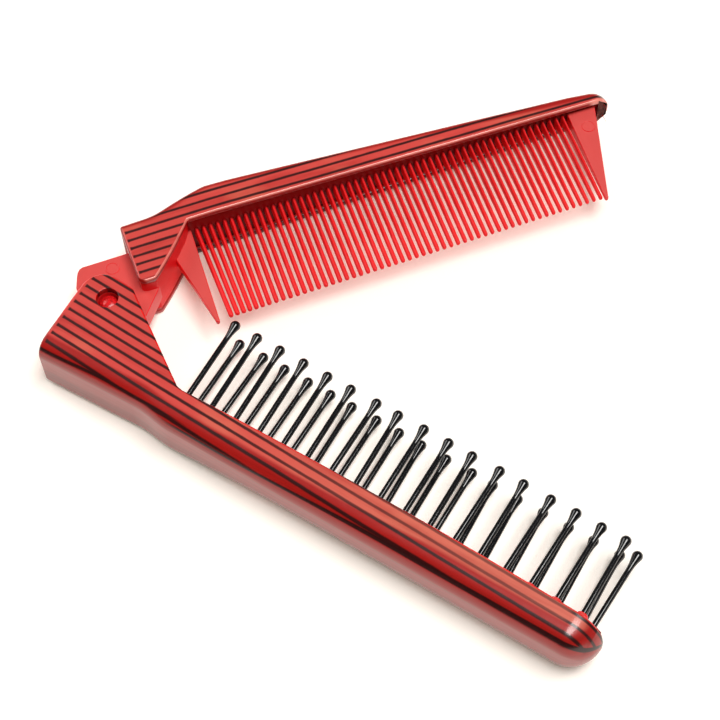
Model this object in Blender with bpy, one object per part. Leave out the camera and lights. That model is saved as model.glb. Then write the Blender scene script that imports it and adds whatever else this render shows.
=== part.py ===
"""Folding comb: a fine-tooth comb arm and a bristle brush arm that share one hinge.

The comb lies on its side, partly open. Sizes are in millimetres until a mesh is made.
Each arm is drawn in its own frame: the hinge axis is the origin, x runs along the arm to its nose,
v runs towards its teeth or bristles (so the spine is at negative v), and z runs up from the surface
that the comb lies on. The brush arm's v is +y, and the comb arm's v is -y, so they face each other.
"""
import math
import random
from collections import namedtuple

import bmesh
import bpy

MM = 0.001

# Both arms
THICKNESS = 13.4
MIDDLE = THICKNESS / 2
WALL = 1.5
GAP = 0.3
SPINE_FILLET = 2.5
NOSE_FILLET = 3.2
NOSE_ROUNDING = 4.0
OPEN_ANGLE = 52.4
NOSE_WALL = 1.0
NOSE_DEPTH = 0.75

# Brush arm outline
BRUSH_END = -6.1
BRUSH_END_SLANT = 0.068
BRUSH_SLANT_REACH = 14.0
BRUSH_NOSE_START = 112.5
BRUSH_SPINE_CORNER = 6.3
BRUSH_INNER_CORNER = 1.2
BRUSH_EAR_TOP = 4.85
BRUSH_EAR_TOP_X = -1.9
BRUSH_SHOULDER = (2.9, 4.4)
BRUSH_EAR_SLOPE = -0.664
BRUSH_HEEL_SPINE = -17.1
BRUSH_WAIST_SPINE = -16.2
BRUSH_WAIST_X = 17.0
BRUSH_STEP_END_X = 26.5
BRUSH_SPINE = -17.15
BRUSH_INNER = -8.72
BRUSH_BOW = 0.8
BRUSH_BOW_CENTRE = 68.0
BRUSH_BOW_HALF = 45.0
BRUSH_FOOT_X = 23.7

# Comb arm outline
COMB_END = 7.1
COMB_NOSE_START = 112.3
COMB_SPINE_CORNER = 2.6
COMB_INNER_CORNER = 0.6
COMB_TAPER = 0.0326
COMB_TAPER_START = 26.6
COMB_EAR_TIP = -1.1
COMB_EAR_CORNER = 1.6
COMB_EAR_HEEL_X = 10.5
COMB_FOOT_X = 20.8
COMB_EAR_BULGE = 0.42
COMB_INNER = -12.6
COMB_HEEL_SPINE = -16.25
COMB_STEP_START_X = 12.0
COMB_STEP_END_X = 27.0
COMB_STEP_SPINE = -20.35
COMB_NOSE_SPINE = -15.9

# Hinge
HOLE_RADIUS = 2.25
PIN_RADIUS = 1.9
PIN_RECESS = 1.4
PIN_DOME = 0.9
TONGUE_HALF = 2.35
SLOT_RADIUS = 13.6
POCKET_RADIUS = 22.5
POCKET_FROM = -27.5
POCKET_TO = 25.0
TONGUE_UPPER = -12.0
TONGUE_LEFT = -5.15
TONGUE_ROOT_X = 14.0

# Comb teeth
TOOTH_COUNT = 55
TOOTH_FIRST = 22.42
TOOTH_PITCH = 1.538
TOOTH_TIP = 9.15
TOOTH_ROOT = -13.85
TOOTH_LEAN = -0.6
BUNCHED_LEAN = 1.0
BUNCHED_TEETH = 5.5
TOOTH_ROOT_HALF_WIDTH = 0.44
TOOTH_TIP_HALF_WIDTH = 0.31
TOOTH_POINT = 0.45
PLATE_BACK = -14.1
PLATE_ROOT_HALF = 1.5
PLATE_TIP_HALF = 0.62
COMB_FACE = -13.5
GUARD_TIP = 9.6
LEFT_GUARD_TIP_X = 19.85
RIGHT_GUARD_TIP_X = 106.0
GUARD_BASE_X = 113.3
LEFT_GUARD_HEEL = (16.1, -7.9)
GUARD_POINT = 0.6
GUARD_TIP_HALF_WIDTH = 0.4

# Brush bristles
ROW_COUNT = 17
ROW_FIRST = 25.6
ROW_PITCH = 5.5
ROW_OFFSET = 3.5
END_BRISTLE_X = 115.9
BRUSH_FACE = -10.2
COLLAR_TOP_FIRST = -8.1
COLLAR_TOP_LAST = -7.6
COLLAR_RADIUS = 1.25
COLLAR_TOP_RADIUS = 1.08
SOCKET_RADIUS = 0.85
SOCKET_DEPTH = 1.3
SHAFT_RADIUS = 0.52
BALL_RADIUS = 1.0
TIP_FIRST = 9.6
TIP_LAST = 8.8
UPPER_LEAN = (4.3, -0.3)
LOWER_LEAN = (2.2, 3.8)
END_LEAN = (0.4, 0.4)
BRISTLE_LEAN = 1.3
BRISTLE_SPLAY = 0.35
BRISTLE_SEED = 199

# Colours
SHELL_RED = (0.60, 0.06, 0.05)
INSERT_RED = (0.66, 0.03, 0.04)
BRISTLE_BLACK = (0.01, 0.01, 0.012)

Arm = namedtuple("Arm", "side taper nose_start inner_corner spine_corner inner spine")


def smooth(value, start, end):
    """0 before start, 1 after end, and a smooth S between them."""
    t = min(1.0, max(0.0, (value - start) / (end - start)))
    return t * t * (3 - 2 * t)


def mix(first, second, t):
    return first + (second - first) * t


def brush_inner(x):
    """The brush arm's inner outline: ear corner, ear slope, then the slightly bowed edge."""
    edge = BRUSH_INNER - BRUSH_BOW * ((x - BRUSH_BOW_CENTRE) / BRUSH_BOW_HALF) ** 2
    shoulder_x, shoulder_v = BRUSH_SHOULDER
    if x <= BRUSH_EAR_TOP_X:
        radius = BRUSH_EAR_TOP_X - BRUSH_END
        reach = BRUSH_EAR_TOP_X - x
        return BRUSH_EAR_TOP - radius + math.sqrt(max(0.0, radius * radius - reach * reach))
    if x <= shoulder_x:
        t = (x - BRUSH_EAR_TOP_X) / (shoulder_x - BRUSH_EAR_TOP_X)
        return mix(BRUSH_EAR_TOP, shoulder_v, t * t)
    return max(shoulder_v + BRUSH_EAR_SLOPE * (x - shoulder_x), edge)


def brush_spine(x):
    """The brush arm's spine: hollowed towards the hinge, stepping out to the straight run."""
    hinge_run = mix(BRUSH_HEEL_SPINE, BRUSH_WAIST_SPINE, (x - BRUSH_END) / (BRUSH_WAIST_X - BRUSH_END))
    return mix(hinge_run, BRUSH_SPINE, smooth(x, BRUSH_WAIST_X, BRUSH_STEP_END_X))


def comb_inner(x):
    """The comb arm's inner outline: rounded ear tip, ear slope, then the straight edge."""
    corner_x = COMB_END + COMB_EAR_CORNER
    if x <= corner_x:
        reach = (corner_x - x) / COMB_EAR_CORNER
        return COMB_EAR_TIP - COMB_EAR_CORNER * (1 - math.sqrt(max(0.0, 1 - reach * reach)))
    t = (x - COMB_EAR_HEEL_X) / (COMB_FOOT_X - COMB_EAR_HEEL_X)
    slope = mix(COMB_EAR_TIP, COMB_INNER, t) + 4 * COMB_EAR_BULGE * t * (1 - t)
    return max(min(COMB_EAR_TIP, slope), COMB_INNER)


def comb_spine(x):
    """The comb arm's spine: low at the hinge, an S-step out, then a long taper to the nose."""
    length = COMB_NOSE_START - COMB_STEP_END_X
    long_run = mix(COMB_STEP_SPINE, COMB_NOSE_SPINE, (x - COMB_STEP_END_X) / length)
    return mix(COMB_HEEL_SPINE, long_run, smooth(x, COMB_STEP_START_X, COMB_STEP_END_X))


BRUSH = Arm(1, 0.0, BRUSH_NOSE_START, BRUSH_INNER_CORNER, BRUSH_SPINE_CORNER, brush_inner, brush_spine)
COMB = Arm(-1, COMB_TAPER, COMB_NOSE_START, COMB_INNER_CORNER, COMB_SPINE_CORNER, comb_inner, comb_spine)


def flank_half(arm, x):
    """Half the arm's thickness, as if its flat sides ran on past the nose."""
    return MIDDLE - arm.taper * max(0.0, x - COMB_TAPER_START)


def nose_radius(arm):
    return flank_half(arm, arm.nose_start)


def outer_half(arm, x):
    """Half the arm's thickness, with the round nose."""
    past = x - arm.nose_start
    if past <= 0:
        return flank_half(arm, x)
    radius = nose_radius(arm)
    return math.sqrt(max(0.0, radius * radius - past * past))


def cavity_half(arm, x):
    """Half the height of the channel inside the shell."""
    return min(flank_half(arm, x) - WALL, outer_half(arm, x) - NOSE_WALL)


def channel_floor(arm, x):
    """Where the channel's floor lies in v: a wall inside the spine and its rounded nose corner."""
    return arm.spine(x) + nose_corner(arm, x, arm.spine_corner) + WALL


def nose_corner(arm, x, radius):
    """How far a rounded corner of the nose has drawn in at x."""
    past = x - (arm.nose_start + nose_radius(arm) - radius)
    if past <= 0:
        return 0.0
    return radius - math.sqrt(max(0.0, radius * radius - past * past))


def spaced(start, end, steps):
    """Evenly spaced values from start to end, without the end."""
    return [mix(start, end, i / steps) for i in range(steps)]


def arm_stations(arm):
    """Where an arm's cross-sections are drawn, from the hinge end to the nose."""
    if arm is BRUSH:
        corner = [mix(BRUSH_EAR_TOP_X, BRUSH_END, math.cos(math.radians(a))) for a in (0, 22, 45, 67)]
        ear = [BRUSH_EAR_TOP_X, 0.8, *spaced(BRUSH_SHOULDER[0], BRUSH_WAIST_X, 3)]
        foot = [BRUSH_WAIST_X, 20.0, BRUSH_FOOT_X, BRUSH_STEP_END_X]
    else:
        radius = COMB_EAR_CORNER
        corner = [COMB_END + radius * (1 - math.cos(math.radians(a))) for a in (0, 30, 60)]
        ear = [COMB_END + radius, COMB_EAR_HEEL_X, 13.0, 15.5, 18.0]
        foot = [COMB_FOOT_X, 23.5, COMB_TAPER_START]
    run = spaced(foot[-1], arm.nose_start, 6)[1:]
    radius = nose_radius(arm)
    nose = [arm.nose_start + radius * math.sin(math.radians(a)) for a in (0, 22, 42, 58, 70, 80)]
    return corner + ear + foot + run + nose


def ring_points(arm, x, section):
    """Places a section's (v, z) points at x, with the brush arm's slanted hinge end."""
    points = []
    for v, z in section:
        shift = 0.0
        if arm is BRUSH:
            fade = max(0.0, 1 - (x - BRUSH_END) / BRUSH_SLANT_REACH)
            shift = BRUSH_END_SLANT * fade * max(0.0, -1.0 - v)
        points.append((x + shift, arm.side * v, z))
    return points


def outer_ring(arm, x):
    """The arm's outer cross-section: square at the inner edge, rounded along the spine."""
    half = outer_half(arm, x)
    inner = arm.inner(x) - nose_corner(arm, x, arm.inner_corner)
    spine = arm.spine(x) + nose_corner(arm, x, arm.spine_corner)
    rounding = smooth(x, arm.nose_start - NOSE_ROUNDING, arm.nose_start + NOSE_ROUNDING)
    fillet = min(mix(SPINE_FILLET, NOSE_FILLET, rounding), 0.9 * half, 0.6 * (inner - spine))
    angles = [math.radians(a) for a in (0, 30, 60, 90)]
    top = MIDDLE + half
    upper = [(spine + fillet * (1 - math.sin(a)), top - fillet * (1 - math.cos(a))) for a in angles]
    lower = [(v, THICKNESS - z) for v, z in reversed(upper)]
    section = [(inner, MIDDLE - half), (inner, top), *upper, *lower]
    return ring_points(arm, x, section)


def channel_ring(arm, x, low_v, high_v, half):
    low, high = MIDDLE - half, MIDDLE + half
    section = [(low_v, low), (high_v, low), (high_v, high), (low_v, high)]
    return ring_points(arm, x, section)


def face_outwards(bm):
    bmesh.ops.recalc_face_normals(bm, faces=bm.faces[:])
    if bm.calc_volume(signed=True) < 0:
        bmesh.ops.reverse_faces(bm, faces=bm.faces[:])


def loft(rings):
    """One closed mesh through rings of the same number of points, with a cap at each end."""
    bm = bmesh.new()
    loops = [[bm.verts.new([c * MM for c in point]) for point in ring] for ring in rings]
    count = len(rings[0])
    for first, second in zip(loops, loops[1:]):
        for i in range(count):
            j = (i + 1) % count
            bm.faces.new((first[i], first[j], second[j], second[i]))
    bm.faces.new(list(reversed(loops[0])))
    bm.faces.new(loops[-1])
    face_outwards(bm)
    return bm


def prism(arm, outline, low, high):
    """An outline of (x, v) points, extruded between two heights, which may be functions of v."""
    rings = []
    for level in (low, high):
        height = level if callable(level) else lambda v, level=level: level
        rings.append([(x, arm.side * v, height(v)) for x, v in outline])
    return loft(rings)


def turned(profile, sides):
    """A round solid about z through (z, radius) pairs."""
    rings = []
    for z, radius in profile:
        angles = [2 * math.pi * i / sides for i in range(sides)]
        rings.append([(radius * math.cos(a), radius * math.sin(a), z) for a in angles])
    return loft(rings)


def joined(meshes):
    """Several separate closed meshes as one."""
    total = bmesh.new()
    for bm in meshes:
        copy = bpy.data.meshes.new("part")
        bm.to_mesh(copy)
        bm.free()
        total.from_mesh(copy)
        bpy.data.meshes.remove(copy)
    return total


def plastic(name, colour, roughness):
    material = bpy.data.materials.new(name)
    material.use_nodes = True
    shader = material.node_tree.nodes["Principled BSDF"]
    shader.inputs["Base Color"].default_value = (*colour, 1.0)
    shader.inputs["Roughness"].default_value = roughness
    shader.inputs["Metallic"].default_value = 0.0
    material.diffuse_color = (*colour, 1.0)
    return material


def solid(name, bm, material, parent):
    mesh = bpy.data.meshes.new(name)
    bm.to_mesh(mesh)
    bm.free()
    mesh.materials.append(material)
    mesh.shade_smooth()
    mesh.set_sharp_from_angle(angle=math.radians(35))
    item = bpy.data.objects.new(name, mesh)
    bpy.context.scene.collection.objects.link(item)
    item.parent = parent
    return item


def tool(name, bm, target, operation):
    """Cuts a mesh out of the target, or joins it on, and hides the mesh."""
    mesh = bpy.data.meshes.new(name)
    bm.to_mesh(mesh)
    bm.free()
    item = bpy.data.objects.new(name, mesh)
    bpy.context.scene.collection.objects.link(item)
    item.parent = target.parent
    item.hide_render = True
    item.display_type = "WIRE"
    modifier = target.modifiers.new(name, "BOOLEAN")
    modifier.operation = operation
    modifier.solver = "EXACT"
    modifier.object = item


def hinge_hole(target):
    profile = [(-2.0, HOLE_RADIUS), (THICKNESS + 2.0, HOLE_RADIUS)]
    tool(target.name + "_hole", turned(profile, 20), target, "DIFFERENCE")


def build_shell(name, arm, material, parent):
    """A channel-shaped shell: two flat sides, a spine and a closed nose, open at the hinge end."""
    shell = solid(name, loft([outer_ring(arm, x) for x in arm_stations(arm)]), material, parent)
    radius = nose_radius(arm)
    stations = [x for x in arm_stations(arm) if x <= arm.nose_start]
    stations += [arm.nose_start + 0.4 * radius, arm.nose_start + NOSE_DEPTH * radius]
    rings = []
    for x in stations:
        rings.append(channel_ring(arm, x, channel_floor(arm, x), 30.0, cavity_half(arm, x)))
    before = [(x - 12.0, y, z) for x, y, z in rings[0]]
    tool(name + "_channel", loft([before, *rings]), shell, "DIFFERENCE")
    return shell


def core_body(arm, start, face):
    """What fills the shell's channel, from the hinge end to the nose, up to the face's height."""
    end = arm.nose_start + NOSE_DEPTH * nose_radius(arm) - GAP
    stations = [start] + [x for x in arm_stations(arm) if start < x <= arm.nose_start]
    stations += [arm.nose_start + 0.4 * nose_radius(arm), end]
    rings = []
    for x in stations:
        rings.append(channel_ring(arm, x, channel_floor(arm, x) + GAP, face(x), cavity_half(arm, x) - GAP))
    return loft(rings)


def brush_face(x):
    """Under the ears the base follows the ear outline, and past them it is level."""
    return max(brush_inner(x) - GAP, BRUSH_FACE) if x < BRUSH_FOOT_X else BRUSH_FACE


def comb_face(x):
    return max(comb_inner(x) - GAP, COMB_FACE) if x < COMB_FOOT_X else COMB_FACE


def bristle_places():
    """The (x, z) of every bristle: two rows, and one alone in the middle of the nose."""
    places = []
    for i in range(ROW_COUNT):
        x = ROW_FIRST + ROW_PITCH * i
        places += [(x, MIDDLE + ROW_OFFSET), (x, MIDDLE - ROW_OFFSET)]
    places.append((END_BRISTLE_X, MIDDLE))
    return places


def along_brush(first, last, x):
    """A value that changes evenly from the first bristle to the last."""
    return mix(first, last, (x - ROW_FIRST) / (END_BRISTLE_X - ROW_FIRST))


def moved_upright(profile, sides, x, z):
    """A turned solid whose axis runs along v at (x, z)."""
    bm = turned(profile, sides)
    for vertex in bm.verts:
        across, up, along = vertex.co
        vertex.co = (across + x * MM, along, z * MM - up)
    face_outwards(bm)
    return bm


def arc(radius, start, end, steps):
    angles = [math.radians(mix(start, end, i / steps)) for i in range(steps + 1)]
    return [(radius * math.cos(a), radius * math.sin(a)) for a in angles]


def slot_outline():
    """The slot that the tongue turns in, with the pocket where the first guard tooth folds in."""
    pocket = arc(POCKET_RADIUS, POCKET_FROM, POCKET_TO, 8)
    return pocket + arc(SLOT_RADIUS, POCKET_TO, 360 + POCKET_FROM, 22)


def build_bristle_base(material, parent):
    """The insert of the brush arm: a bar with a raised collar and socket for each bristle."""
    start = BRUSH_END + GAP
    base = solid("bristle_base", core_body(BRUSH, start, brush_face), material, parent)
    collars = []
    sockets = []
    for x, z in bristle_places():
        top = along_brush(COLLAR_TOP_FIRST, COLLAR_TOP_LAST, x)
        collar = [(BRUSH_FACE - 0.8, COLLAR_RADIUS), (BRUSH_FACE, COLLAR_RADIUS), (top, COLLAR_TOP_RADIUS)]
        collars.append(moved_upright(collar, 8, x, z))
        socket = [(top - SOCKET_DEPTH, SOCKET_RADIUS), (top + 1.0, SOCKET_RADIUS)]
        sockets.append(moved_upright(socket, 8, x, z))
    tool("bristle_base_collars", joined(collars), base, "UNION")
    tool("bristle_base_sockets", joined(sockets), base, "DIFFERENCE")
    slot_half = TONGUE_HALF + GAP
    slot_mesh = prism(BRUSH, slot_outline(), MIDDLE - slot_half, MIDDLE + slot_half)
    tool("bristle_base_slot", slot_mesh, base, "DIFFERENCE")
    hinge_hole(base)
    return base


def row_lean(x, z):
    """How far, in degrees, the bristles of a row lean towards the hinge at x."""
    if z == MIDDLE:
        return along_brush(*END_LEAN, x)
    return along_brush(*(UPPER_LEAN if z > MIDDLE else LOWER_LEAN), x)


def build_bristles(material, parent):
    """Ball-tipped bristles, each leaning a little its own way about its foot."""
    random.seed(BRISTLE_SEED)
    for number, (x, z) in enumerate(bristle_places(), start=1):
        foot = along_brush(COLLAR_TOP_FIRST, COLLAR_TOP_LAST, x) - SOCKET_DEPTH + GAP
        tip = along_brush(TIP_FIRST, TIP_LAST, x) - foot
        profile = [(0.0, SHAFT_RADIUS), (tip - 3.0, SHAFT_RADIUS), (tip - 1.2, 0.68 * BALL_RADIUS)]
        for angle in (-20, 20, 55, 78):
            a = math.radians(angle)
            profile.append((tip + BALL_RADIUS * math.sin(a), BALL_RADIUS * math.cos(a)))
        bristle = solid(f"bristle_{number:02d}", moved_upright(profile, 8, 0.0, 0.0), material, parent)
        bristle.location = (x * MM, foot * MM, z * MM)
        splay = math.radians(random.uniform(-BRISTLE_SPLAY, BRISTLE_SPLAY))
        own_lean = random.uniform(-BRISTLE_LEAN, BRISTLE_LEAN)
        lean = math.radians(row_lean(x, z) + own_lean)
        bristle.rotation_euler = (splay, 0.0, lean)


def tooth_lean(index):
    """How far a tooth's tip lies from its root along x: the first few bunch together."""
    return TOOTH_LEAN + BUNCHED_LEAN * max(0.0, 1 - index / BUNCHED_TEETH)


def fine_tooth(index):
    """One fine tooth in plan, from its left root round the blunt tip to its right root."""
    root_x = TOOTH_FIRST + TOOTH_PITCH * index
    tip_x = root_x + tooth_lean(index)
    root, tip = TOOTH_ROOT_HALF_WIDTH, TOOTH_TIP_HALF_WIDTH
    shoulder = TOOTH_TIP - TOOTH_POINT
    left = [(root_x - root, TOOTH_ROOT), (tip_x - tip, shoulder), (tip_x - 0.4 * tip, TOOTH_TIP)]
    right = [(tip_x + 0.4 * tip, TOOTH_TIP), (tip_x + tip, shoulder), (root_x + root, TOOTH_ROOT)]
    return left + right


def guard_tip(x):
    """The blunt tip of a guard tooth in plan, from left to right."""
    shoulder = GUARD_TIP - GUARD_POINT
    half = GUARD_TIP_HALF_WIDTH
    end = 0.4 * half
    return [(x - half, shoulder), (x - end, GUARD_TIP), (x + end, GUARD_TIP), (x + half, shoulder)]


def tooth_outline():
    """The comb's teeth in plan: a guard tooth at each end and the fine teeth between them."""
    space = TOOTH_PITCH - TOOTH_ROOT_HALF_WIDTH
    left_root = TOOTH_FIRST - space
    right_root = TOOTH_FIRST + TOOTH_PITCH * (TOOTH_COUNT - 1) + space
    points = [(LEFT_GUARD_HEEL[0], PLATE_BACK), LEFT_GUARD_HEEL, *guard_tip(LEFT_GUARD_TIP_X)]
    points.append((left_root, TOOTH_ROOT))
    for index in range(TOOTH_COUNT):
        points += fine_tooth(index)
    points += [(right_root, TOOTH_ROOT), *guard_tip(RIGHT_GUARD_TIP_X), (GUARD_BASE_X, PLATE_BACK)]
    return points


def plate_half(v):
    """Half the thickness of the teeth, from root to tip."""
    return mix(PLATE_ROOT_HALF, PLATE_TIP_HALF, (v - TOOTH_ROOT) / (TOOTH_TIP - TOOTH_ROOT))


def tongue_outline():
    """The hinge tongue in plan: straight upper edge, rounded end, and a slanted edge to the ear."""
    points = [(TONGUE_ROOT_X, TONGUE_UPPER), (-2.6, TONGUE_UPPER), (-4.2, -10.5), (TONGUE_LEFT, -7.6)]
    for angle in (180, 150, 120, 90, 65, 45):
        a = math.radians(angle)
        points.append((5.15 * math.cos(a), 0.8 + 5.15 * math.sin(a)))
    points += [(6.0, 4.6), (10.4, -0.9), (COMB_EAR_HEEL_X + 1.5, -3.4), (TONGUE_ROOT_X, -6.0)]
    return points


def build_comb_core(material, parent):
    """The insert of the comb arm: the bar, the teeth and the hinge tongue in one piece."""
    start = COMB_END + GAP
    core = solid("comb_core", core_body(COMB, start, comb_face), material, parent)
    teeth = prism(COMB, tooth_outline(), lambda v: MIDDLE - plate_half(v), lambda v: MIDDLE + plate_half(v))
    tool("comb_core_teeth", teeth, core, "UNION")
    tongue = prism(COMB, tongue_outline(), MIDDLE - TONGUE_HALF, MIDDLE + TONGUE_HALF)
    tool("comb_core_tongue", tongue, core, "UNION")
    hinge_hole(core)
    return core


def build_hinge_pin(material, parent):
    """The pin: a plain shaft with a domed end just inside each ear."""
    low = PIN_RECESS
    high = THICKNESS - PIN_RECESS
    dome = [(0.0, 0.35 * PIN_RADIUS), (0.35 * PIN_DOME, 0.8 * PIN_RADIUS), (PIN_DOME, PIN_RADIUS)]
    profile = [(low + rise, radius) for rise, radius in dome]
    profile += [(high - rise, radius) for rise, radius in reversed(dome)]
    return solid("hinge_pin", turned(profile, 16), material, parent)


def empty(name, parent=None):
    item = bpy.data.objects.new(name, None)
    bpy.context.scene.collection.objects.link(item)
    item.parent = parent
    return item


def centre_on_floor(root):
    """Moves the whole comb so that the middle of its footprint is at x = 0, y = 0."""
    bpy.context.view_layer.update()
    graph = bpy.context.evaluated_depsgraph_get()
    xs = []
    ys = []
    for item in bpy.context.scene.objects:
        if item.type != "MESH" or item.hide_render:
            continue
        world = item.matrix_world
        mesh = item.evaluated_get(graph).data
        for vertex in mesh.vertices:
            place = world @ vertex.co
            xs.append(place.x)
            ys.append(place.y)
    root.location.x -= (min(xs) + max(xs)) / 2
    root.location.y -= (min(ys) + max(ys)) / 2
    bpy.context.view_layer.update()


def main():
    for item in list(bpy.data.objects):
        bpy.data.objects.remove(item, do_unlink=True)

    brush_arm = empty("brush_arm")
    comb_arm = empty("comb_arm", brush_arm)
    comb_arm.rotation_euler.z = math.radians(OPEN_ANGLE)

    brush_plastic = plastic("brush_shell_plastic", SHELL_RED, 0.22)
    hinge_hole(build_shell("brush_shell", BRUSH, brush_plastic, brush_arm))
    build_bristle_base(plastic("bristle_base_plastic", INSERT_RED, 0.35), brush_arm)
    build_bristles(plastic("bristle_nylon", BRISTLE_BLACK, 0.25), brush_arm)
    build_hinge_pin(plastic("hinge_pin_plastic", INSERT_RED, 0.25), brush_arm)
    build_shell("comb_shell", COMB, plastic("comb_shell_plastic", SHELL_RED, 0.22), comb_arm)
    build_comb_core(plastic("comb_core_plastic", INSERT_RED, 0.35), comb_arm)
    centre_on_floor(brush_arm)


main()
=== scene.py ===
"""Folding comb, dressed: striped glossy shells, moulded inserts, fine teeth and ball-tipped bristles.

Each arm is drawn in its own frame, in millimetres: the hinge axis is the origin, x runs along the arm
to its nose, v runs towards its teeth or bristles, and z runs up from the surface that the comb lies on.
The brush arm's v is +y and the comb arm's v is -y, turned by the angle between the arms. Names that
end in _X, _V or _Z are places along those axes, and a pair of them is where something starts and ends.
"""
import math
from collections import namedtuple

import bmesh
import bpy
from mathutils import Matrix, Vector


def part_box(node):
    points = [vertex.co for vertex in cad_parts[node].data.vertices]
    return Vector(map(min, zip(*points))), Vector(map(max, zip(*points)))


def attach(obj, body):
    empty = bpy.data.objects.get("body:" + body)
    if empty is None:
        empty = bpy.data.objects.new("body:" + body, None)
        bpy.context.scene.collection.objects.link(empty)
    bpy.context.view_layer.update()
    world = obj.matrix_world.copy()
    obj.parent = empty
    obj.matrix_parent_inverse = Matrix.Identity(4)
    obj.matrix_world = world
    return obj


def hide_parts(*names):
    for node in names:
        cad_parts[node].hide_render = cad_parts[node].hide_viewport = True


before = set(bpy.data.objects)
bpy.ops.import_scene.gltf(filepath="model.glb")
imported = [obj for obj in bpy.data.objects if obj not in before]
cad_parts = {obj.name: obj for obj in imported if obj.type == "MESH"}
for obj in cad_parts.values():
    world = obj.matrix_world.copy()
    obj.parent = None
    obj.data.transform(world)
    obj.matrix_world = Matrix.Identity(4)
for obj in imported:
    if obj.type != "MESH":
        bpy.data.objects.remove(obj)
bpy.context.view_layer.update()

MM = 0.001

# The hinge axis in the row frame, in millimetres and as a point on the floor in metres
pin_low, pin_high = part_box("hinge_pin")
PIVOT = ((pin_low + pin_high) / 2).to_2d() / MM
HINGE = Vector((PIVOT.x, PIVOT.y, 0.0)) * MM
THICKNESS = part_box("brush_shell")[1].z / MM

# Both arms
MIDDLE = THICKNESS / 2
WALL = 1.5
GAP = 0.3
SEAM = 0.12
NOSE_ROUNDING = 4.0
OPEN_ANGLE = 52.4
NOSE_WALL = 1.0
NOSE_DEPTH = 0.75
FILLET_OF_HALF = 0.9
FILLET_OF_WIDTH = 0.72
RAMP_EASE = 0.25
FLAT_STEPS = 4
ROUND_STEPS = 10

# Rounded edges of the pieces, and what counts as flat or sharp
EDGE_ROUND = 0.5
BAR_ROUND = 0.15
TONGUE_ROUND = 0.3
GUARD_ROUND = 0.22
ROUND_SEGMENTS = 3
FLAT_ANGLE = math.radians(0.05)
ROUNDED_ANGLE = math.radians(40)
SHARP_ANGLE = math.radians(42)

# Brush arm outline
BRUSH_END = -6.3
BRUSH_END_SLANT = 0.068
BRUSH_SLANT_REACH = 14.0
BRUSH_SLANT_FROM = -1.0
BRUSH_NOSE_START = 112.5
BRUSH_SPINE_CORNER = 6.3
BRUSH_INNER_CORNER = 1.2
BRUSH_EAR_TOP = 4.85
BRUSH_EAR_TOP_X = -1.9
BRUSH_SHOULDER = (3.05, 4.55)
BRUSH_EAR_SLOPE = -0.664
BRUSH_HEEL_SPINE = -17.1
BRUSH_WAIST_SPINE = -16.2
BRUSH_WAIST_X = 17.0
BRUSH_STEP_END_X = 26.5
BRUSH_SPINE = -17.15
BRUSH_INNER = -8.72
BRUSH_BOW = 0.8
BRUSH_BOW_CENTRE = 68.0
BRUSH_BOW_HALF = 45.0
BRUSH_FOOT_X = 23.7
BRUSH_CHANNEL_CORNER = 2.7
BRUSH_HEEL_FILLET = 3.65
BRUSH_HEEL_UNDER_FILLET = 1.9
BRUSH_FILLET = 4.25
BRUSH_FILLET_X = (20.0, 50.0)
BRUSH_UNDER_FILLET = 6.0
BRUSH_UNDER_FILLET_X = (8.0, 55.0)

# Comb arm outline
COMB_END = 7.1
COMB_NOSE_START = 112.3
COMB_SPINE_CORNER = 2.6
COMB_INNER_CORNER = 0.6
COMB_TAPER = 0.0326
COMB_TAPER_START = 26.6
COMB_EAR_TIP = -1.1
COMB_EAR_CORNER = 1.6
COMB_EAR_HEEL_X = 10.5
COMB_FOOT_X = 20.8
COMB_EAR_BULGE = 0.42
COMB_INNER = -12.6
COMB_HEEL_SPINE = -16.3
COMB_HEEL_SLOPE = -0.03
COMB_STEP_START_X = 12.6
COMB_STEP_END_X = 29.2
COMB_STEP_SPINE = -20.15
COMB_NOSE_SPINE = -15.9
COMB_CHANNEL_CORNER = 0.5
COMB_FILLET = 1.3
COMB_NOSE_FILLET = 2.3

# Hinge
HOLE_RADIUS = 2.25
HOLE_LIP = 0.15
HOLE_LIP_PROFILE = ((0.0, 1.0), (0.0234, 0.45), (0.06825, 0.12), (0.14625, 0.0))
HOLE_SIDES = 48
PIN_RADIUS = 1.9
PIN_DOME = 0.9
PIN_DOME_ANGLES = (86, 72, 56, 38, 20, 0)
PIN_SIDES = 40
TONGUE_HALF = 2.35
TONGUE_UPPER = -12.0
TONGUE_ROOT_X = 14.0
TONGUE_CORNER = ((-2.6, TONGUE_UPPER), (-3.3, -11.75), (-3.9, -11.1), (-4.3, -10.2), (-5.15, -7.6))
TONGUE_END_RADIUS = 5.15
TONGUE_END_V = 0.8
TONGUE_EAR_EDGE = ((6.0, 4.6), (10.4, -0.9), (COMB_EAR_HEEL_X + 1.5, -3.4), (TONGUE_ROOT_X, -6.0))
SLOT_RADIUS = 13.6
POCKET_RADIUS = 25.0
POCKET_FROM = -27.5
POCKET_TO = 25.0

# Comb teeth
TOOTH_COUNT = 55
TOOTH_FIRST = 22.42
TOOTH_PITCH = 1.538
TOOTH_TIP = 9.15
TOOTH_ROOT = -13.85
TOOTH_LEAN = -0.6
BUNCHED_LEAN = 1.0
BUNCHED_TEETH = 5.5
TOOTH_ROOT_HALF_WIDTH = 0.38
TOOTH_TIP_HALF_WIDTH = 0.42
TOOTH_SWELL = 1.24
TOOTH_SWELL_LAST = 0.95
TOOTH_FLARE = 0.10
TOOTH_FLARE_START = 0.3
TOOTH_FLARE_LENGTH = 0.35
TOOTH_ROOT_DEPTHS = (-0.3, 0.4, 0.9, 1.6, 3.0)
TOOTH_SHAFT_START = 5.0
TOOTH_POINT = 0.5
TOOTH_POINT_ANGLES = (0, 25, 45, 62, 76, 86)
TOOTH_SQUARENESS = 0.8
TOOTH_SIDES = 12
PLATE_BACK = -14.1
PLATE_ROOT_HALF = 1.5
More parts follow.
